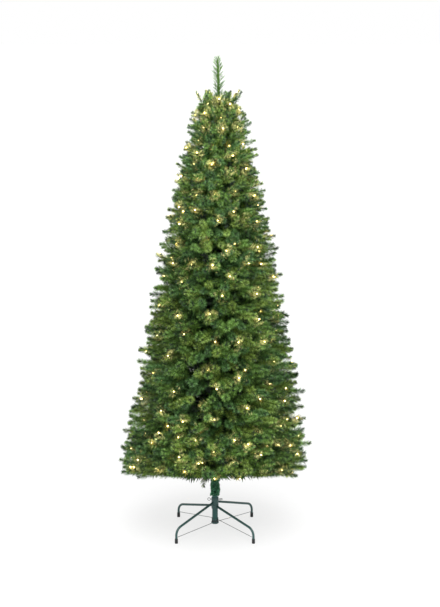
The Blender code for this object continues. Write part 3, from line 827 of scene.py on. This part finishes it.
def makeNeedles():
    names, shares = zip(*sprayHues)
    dealtHues = dealHues(4, names, len(twigCurves), shares)
    dealtHues[-1] = hueNumber["spring"]
    # most twigs whose tips lie in one patch share a shade
    chance = np.random.default_rng(5).random((2, len(twigCurves)))
    patch = np.floor(twigCurves[:, 2] / needles["patch"])
    dealt = np.where(chance[0] < needles["patched"], scatter(*patch.T), chance[1])
    shades = np.digitize(dealt, np.cumsum(needles["sprayShade"])[:2]) - 1
    groups, members, load = [], [], 0
    heavy = needles["perMetre"] * needles["brush"] * 2
    for index, amount in enumerate(np.bincount(massOfTwig, minlength=len(masses))):
        if load + amount * heavy > needles["heaviest"]:
            groups.append(members)
            members, load = [], 0
        members.append(index)
        load += amount * heavy
    groups.append(members)
    for number, members in enumerate(groups):
        chosen = np.isin(massOfTwig, members)
        shape, twig, back = brush(twigCurves[chosen], needles, 100 + number)
        slate = back < needles["darkEnd"]
        hue, shade = dealtHues[chosen][twig], shades[chosen][twig]
        finishOf = dealGreens(shape, hue, needles, 200 + number, slate, shade)
        nodes = [masses[index].name for index in members]
        addNeedles(f"needles_{number + 1:02d}", leaned(shape), finishOf, nodes)


# the inner needles are dealt darker tones than the outer ones, painted shade deep in the crown, and hues that
# lean to forest and slate
fillerLook = dict(
    needles, perMetre=560.0, brush=0.2, length=0.034, halfWidth=0.0032, leanOut=math.radians(65),
    footTones=(0.48, 0.48, 0.04, 0.0), tipTones=(0.27, 0.50, 0.23, 0.0),
)


def makeFillers():
    shape, twig, _ = brush(fillerCurves, fillerLook, 55)
    points, _, triangles = shape
    hue = dealHues(56, ("meadow", "forest", "forest", "slate"), len(fillerCurves))[twig]
    finishOf = dealGreens(shape, hue, fillerLook, 57)
    half = len(twig) // 2
    for number, (start, stop) in enumerate(((0, half), (half, len(twig)))):
        faces = slice(2 * start, 2 * stop)
        part = points[4 * start:4 * stop], noQuads, triangles[faces] - 4 * start
        addNeedles(f"inner_needles_{number + 1}", leaned(part), finishOf[faces])


makeNeedles()
makeFillers()


leader = {"foot": 1.925, "top": 2.110, "bend": -0.007, "bow": 0.003, "core": (0.0056, 0.0034, 12), "sides": 8}
leaderLook = dict(
    needles, perMetre=1350.0, brush=0.3, length=0.043, leanOut=math.radians(47), leanEnd=math.radians(22),
    halfWidth=0.0012, widestAt=0.62, endRun=0.022, crowding=1.0, twist=3.1, sparser=0.0, shorter=0.0,
)
leaderCoat = dict(leaderLook, perMetre=2600.0, length=0.013, leanOut=math.radians(34), halfWidth=0.0013)


def makeLeader():
    # a tight coat of short needles along the wire, and sparse long ones that stand off it
    low = np.array([0.0, 0.0, leader["foot"]])
    high = np.array([leader["bend"], 0.0, leader["top"]])
    curve = np.array([[low, (low + high) / 2 + [leader["bow"], 0, 0], high]])
    standing, twig, _ = brush(curve, leaderLook, 7)
    coat, coatTwig, _ = brush(curve, leaderCoat, 8)
    shape = joinShapes(standing, coat)
    hue = dealHues(9, ("meadow", "forest"), len(twig) + len(coatTwig))
    addNeedles("leader_needles", leaned(shape), dealGreens(shape, hue, needles, 10), ["leader"])
    radii = np.linspace(*leader["core"])
    wire = tubes(curvePaths(curve, len(radii)), radii, leader["sides"])
    green = needleFinishes[hueNumber["meadow"] * toneCount + mid]
    addPiece("leader_wire", leaned(wire), [green])


garland = {
    "from": 0.1590, "to": 0.345, "pitch": 0.0085, "radius": 0.0137, "steps": 24, "perStep": 16,
    "length": 0.0140, "halfWidth": 0.0013, "lead": 0.004, "stray": (1.0, 1.5), "widestAt": 0.4,
    "tufts": (0.35, 0.65), "tuftSteps": 7, "lengths": (0.7, 0.3),
}


def makeGarland():
    # needles that stand out, scattered, from a helix about the pole
    count = int((garland["to"] - garland["from"]) / garland["pitch"] * garland["steps"])
    step = np.repeat(np.arange(count + 1), garland["perStep"])
    chance = np.random.default_rng(12).random((6, len(step)))
    angle = step * math.tau / garland["steps"]
    height = garland["from"] + garland["lead"] + step * garland["pitch"] / garland["steps"]
    foot = polar(garland["radius"], angle, height)
    turn = angle + garland["stray"][0] * (chance[0] - 0.5)
    rise = garland["stray"][1] * (chance[1] - 0.5)
    outward = polar(np.cos(rise), turn, np.sin(rise))
    tuft = ranged(garland["tufts"], scatter(step // garland["tuftSteps"]))
    size = (garland["length"] * tuft * ranged(garland["lengths"], chance[2]))[:, None]
    across = unit(np.cross(outward, unit(chance[3:].T - 0.5))) * garland["halfWidth"]
    shape = kites(foot, foot + outward * size * garland["widestAt"], across, foot + outward * size)
    hue = np.full(len(foot), hueNumber["pine"])
    addNeedles("garland_needles", shape, dealGreens(shape, hue, needles, 13), ["pole_garland"])


makeLeader()
makeGarland()
print("leader and garland done")


pole = {
    "sections": ((0.0129, 0.036, 0.700), (0.0118, 0.7003, 1.250), (0.0106, 1.2503, 1.920)),
    "swage": 0.045, "swageStep": 0.0012, "swageCone": 0.010, "edge": 0.0009, "sides": 40,
    "evenFrom": 0.02,  # above a section's foot, where evenly spaced rings begin
}
clear = 0.0003
bore = pole["sections"][0][0] + clear  # radius inside whatever goes round the lowest tube


def makePole():
    # three tubes that plug into one another, each but the last widened at its top
    tubesOfPole = []
    for number, (radius, low, high) in enumerate(pole["sections"]):
        wide = radius + pole["swageStep"] * (number < len(pole["sections"]) - 1)
        neck = high - pole["swage"]
        edge = pole["edge"]
        profile = [(0, low), (radius - edge, low), (radius, low + edge)]
        profile += [(radius, height) for height in np.linspace(low + pole["evenFrom"], neck, 8)]
        for share in np.linspace(0, 1, 6)[1:]:
            eased = 3 * share**2 - 2 * share**3
            profile.append((radius + (wide - radius) * eased, neck + pole["swageCone"] * share))
        profile += [(wide, high - edge), (wide - edge, high), (0, high)]
        tubesOfPole.append(turned(profile, pole["sides"]))
    addPiece("pole_tubes", leaned(joinShapes(*tubesOfPole)), [tealPaint],
             nodes=["pole_lower", "pole_middle", "pole_upper"])


cap = {"wall": 0.0016, "height": 0.013, "floor": 0.004, "edge": 0.0012, "ribs": 24, "ribDepth": 0.00035}


def makeCap():
    # the moulded cup under the pole, with shallow upright ribs round its side
    floor = pole["sections"][0][1] - clear
    outer = bore + cap["wall"]
    edge = cap["edge"]
    low, high = floor - cap["floor"], floor + cap["height"]
    profile = roundedFoot(outer, low, edge, 5)
    profile += [(outer, height) for height in np.linspace(low + 2 * edge, high - 2 * edge / 3, 5)]
    profile += [(outer - edge / 3, high - edge / 6), (outer - edge / 2, high)]
    profile += [(bore, high), (bore, floor), (0, floor)]
    points, *faces = turned(profile, cap["ribs"] * 4)
    across = np.hypot(points[:, 0], points[:, 1])
    turn = np.arctan2(points[:, 1], points[:, 0])
    side = (across > outer - edge / 6) & (points[:, 2] > low + edge) & (points[:, 2] < high - edge / 2)
    rib = cap["ribDepth"] * (0.5 - 0.5 * np.cos(turn * cap["ribs"])) * side
    points[:, :2] *= (1 - rib / np.maximum(across, 1e-6))[:, None]
    addPiece("pole_cup", (points, *faces), [capPlastic], nodes=["pole_cap"])


stand = {
    "footReach": 0.242,  # from the pole's axis to a foot's middle
    "legRadius": 0.0053, "bend": 0.038, "bendSteps": 18, "straightSteps": 10, "sides": 20,
    "legEnds": (0.03, 0.0045),  # heights of an upright end's last two rings
    "legs": {"upper": ((0.1318, 0.0640), (225, 45)), "lower": ((0.1142, 0.0618), (315, 135))},
    "sleeve": 0.0030, "sleeveEdge": 0.0009, "sleeveSides": 48, "weld": 0.0017, "wireSides": 10,
    "weldDepth": 0.45,  # share of the sleeve's wall that the tube goes into
    "sleeves": {"upper": (0.12315, 0.1560), "lower": (0.1037, 0.12285)},
    "braceHeights": {"upper": 0.0545, "lower": 0.0370},
    "braceRadius": 0.0013, "braceRing": (0.0022, 0.007), "braceRingEdge": 0.0006,
    "braceFoot": 0.027, "braceEnd": 0.006,
}


def legPath(hub, shoulder, angle):
    # down the slope in a straight line, round an arc that meets it and the upright end, and down
    start = bore + stand["weldDepth"] * stand["sleeve"]
    far, bend = stand["footReach"], stand["bend"]
    turn = math.pi / 2 - math.atan2(hub - shoulder, far - start)
    centre = shoulder - bend * math.tan(turn / 2)
    arc = turn * np.linspace(1, 0, stand["bendSteps"])
    radius = far - bend + bend * np.cos(arc)
    height = centre + bend * np.sin(arc)
    slope = np.linspace(0, 1, stand["straightSteps"], endpoint=False)
    radius = np.concatenate([start + (radius[0] - start) * slope, radius, [far, far]])
    height = np.concatenate([hub + (height[0] - hub) * slope, height, stand["legEnds"]])
    return polar(radius, angle, height)


def torus(middle, axis, ringRadius, wire, sides, rings=28):
    # point = middle + (ringRadius + wire * cos b) * (side * cos a + up * sin a) + wire * sin b * axis
    axis = unit(np.array(axis, float))
    b = turns(sides)[:, None, None]
    grid = middle + (ringRadius + wire * np.cos(b)) * circlesAbout(axis, rings) + wire * np.sin(b) * axis
    return grid.reshape(-1, 3), lattice(sides, rings, True), noTriangles


def makeLegs():
    free = stand["sleeve"] * (1 - stand["weldDepth"])
    for name, ((hub, shoulder), angles) in stand["legs"].items():
        low, high = stand["sleeves"][name]
        profile = rounded(bore, bore + stand["sleeve"], low, high, stand["sleeveEdge"])
        shapes = [collar(profile, stand["sleeveSides"])]
        for angle in np.radians(angles):
            path = legPath(hub, shoulder, angle)
            beside = polar(1.0, angle + math.pi / 2, 0.0)
            shapes.append(tubes(path[None], stand["legRadius"], stand["sides"], beside))
            aim = unit(path[1] - path[0])
            bead = path[0] + aim * free / math.hypot(aim[0], aim[1])
            shapes.append(torus(bead, aim, stand["legRadius"], stand["weld"], 8))
        addPiece("steel_legs_" + name, joinShapes(*shapes), [legPaint],
                 nodes=["legs_" + name])


def makeBraces():
    thick, tall = stand["braceRing"]
    far, foot = stand["footReach"] - stand["legRadius"] - clear, stand["braceFoot"]
    feet = {"upper": stand["legs"]["lower"][1], "lower": stand["legs"]["upper"][1]}
    for name, height in stand["braceHeights"].items():
        cupped = height < pole["sections"][0][1] + cap["height"]
        inner = bore + (cap["wall"] + clear) * cupped
        low, high = height - tall / 2, height + tall / 2
        ring = collar(rounded(inner, inner + thick, low, high, stand["braceRingEdge"]), 40)
        shapes = []
        for angle in np.radians(feet[name]):
            corners = (inner + thick / 2, height), (far - stand["braceEnd"], foot), (far, foot)
            line = np.array([polar(radius, angle, level) for radius, level in corners])
            straight = line[0] + (line[1] - line[0]) * np.linspace(0, 1, 8)[:, None]
            bend = np.array([[straight[-2], *line[1:]]])
            path = np.concatenate([straight[:-1], curvePaths(bend, 5)[0, 1:]])
            shapes.append(tubes(path[None], stand["braceRadius"], stand["wireSides"]))
        addPiece("wire_braces_" + name, joinShapes(*shapes), [zincPlate],
                 nodes=["braces_" + name])
        addPiece("brace_ring_" + name, ring, [legPaint], nodes=["braces_" + name])


shoe = {
    "height": 0.021, "radius": 0.0070, "rim": 0.0012, "skirt": 0.006, "edge": 0.0011, "floor": 0.004,
    "rimHeight": 0.003, "roll": (0.0004, 0.0010), "rollDown": 0.0012, "sides": 28,
}


def makeFeet():
    # a rubber cup whose side swells to a rolled foot, with a rolled rim where the tube goes in
    inner = stand["legRadius"] + clear
    radius, tall = shoe["radius"], shoe["height"]
    top = inner + shoe["rim"]
    side = tall - shoe["rimHeight"] - shoe["skirt"]
    swell, roll = shoe["roll"]
    profile = roundedFoot(radius, 0, shoe["edge"], 6)
    for share in np.linspace(0, 1, 7)[1:]:
        across = radius + (top - radius) * math.sin(share * math.pi / 2)
        profile.append((across, shoe["skirt"] + side * share))
    for a in np.linspace(-math.pi / 2, math.pi / 2, 6):
        profile.append((top + swell * math.cos(a), tall - shoe["rollDown"] + roll * math.sin(a)))
    profile += [(top - swell, tall), (inner, tall), (inner, shoe["floor"]), (0, shoe["floor"])]
    corners = {"back_right": 45, "back_left": 135, "front_left": 225, "front_right": 315}
    for name, degrees in corners.items():
        centre = polar(stand["footReach"], math.radians(degrees), 0.0)
        addPiece("rubber_foot_" + name, turned(profile, shoe["sides"], [centre]), [footRubber],
                 nodes=["foot_" + name])


bolt = {
    "height": 0.1465, "eye": 0.0062, "wire": 0.0013, "shank": 0.0045, "shankRadius": 0.0024,
    "turns": {"left": (180, 90), "right": (0, 10)},
    "thread": 0.0009, "threadDepth": 0.00035, "point": 0.8, "sides": 16,
}


def makeBolts():
    # an eye of round wire on a threaded shank, whose profile rises and falls once for each turn
    start = pole["sections"][0][0] + 2 * clear + stand["sleeve"]
    for name, (degrees, twist) in bolt["turns"].items():
        angle, roll = math.radians(degrees), math.radians(twist)
        out = polar(1.0, angle, 0.0)
        beside = np.cross([0.0, 0.0, 1.0], out)
        axis = np.array([0.0, 0.0, math.cos(roll)]) - beside * math.sin(roll)
        eye = polar(start + bolt["shank"] + bolt["eye"], angle, bolt["height"])
        run = np.arange(0, bolt["shank"], bolt["thread"] / 2)
        radius = bolt["shankRadius"] - bolt["threadDepth"] * (np.arange(len(run)) % 2)
        end = [(bolt["shankRadius"] * bolt["point"], bolt["shank"]), (0, bolt["shank"])]
        profile = [(0, 0), *zip(radius, run), *end]
        shank = turned(profile, bolt["sides"], [polar(start, angle, bolt["height"])], [out])
        ring = torus(eye, axis, bolt["eye"], bolt["wire"], stand["wireSides"])
        addPiece("clamp_eye_" + name, joinShapes(ring, shank), [zincPlate],
                 nodes=["eye_bolt_" + name])


makePole()
makeCap()
makeLegs()
makeBraces()
makeFeet()
makeBolts()
print("pole and stand done")
